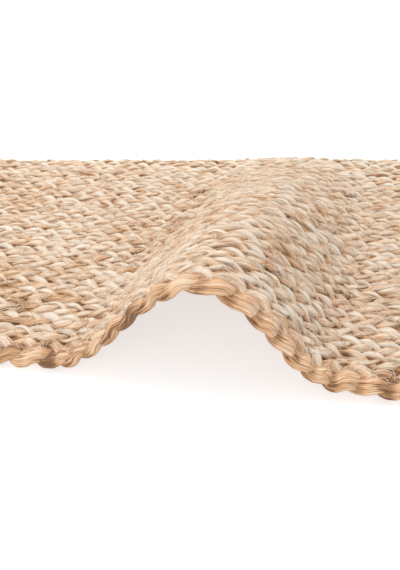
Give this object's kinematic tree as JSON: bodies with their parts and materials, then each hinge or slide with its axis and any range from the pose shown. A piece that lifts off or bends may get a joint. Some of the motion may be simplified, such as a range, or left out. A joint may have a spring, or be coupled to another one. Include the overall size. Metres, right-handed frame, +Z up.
{
  "type": "jute rug, cut length",
  "caption": "Cut length of a plaited jute rug lying on the floor, its front edge pushed up into one wave that dies away towards the back.",
  "frame": {"origin": "on the floor under the middle of the rug's bounding box", "axes": "+Z up, +X along the plaits to the right, +Y from the front edge to the back"},
  "size_m": [0.475, 0.4204, 0.0765],
  "materials": {
    "jute_field": "dry plaited jute fibre, cream to straw with scattered tan bundles",
    "jute_edge": "smooth combed jute bundles, straw to tan, with fine lengthwise fibres"
  },
  "bodies": {
    "root": {"field": "jute_field", "edge_plait": "jute_edge"}
  },
  "joints": []
}
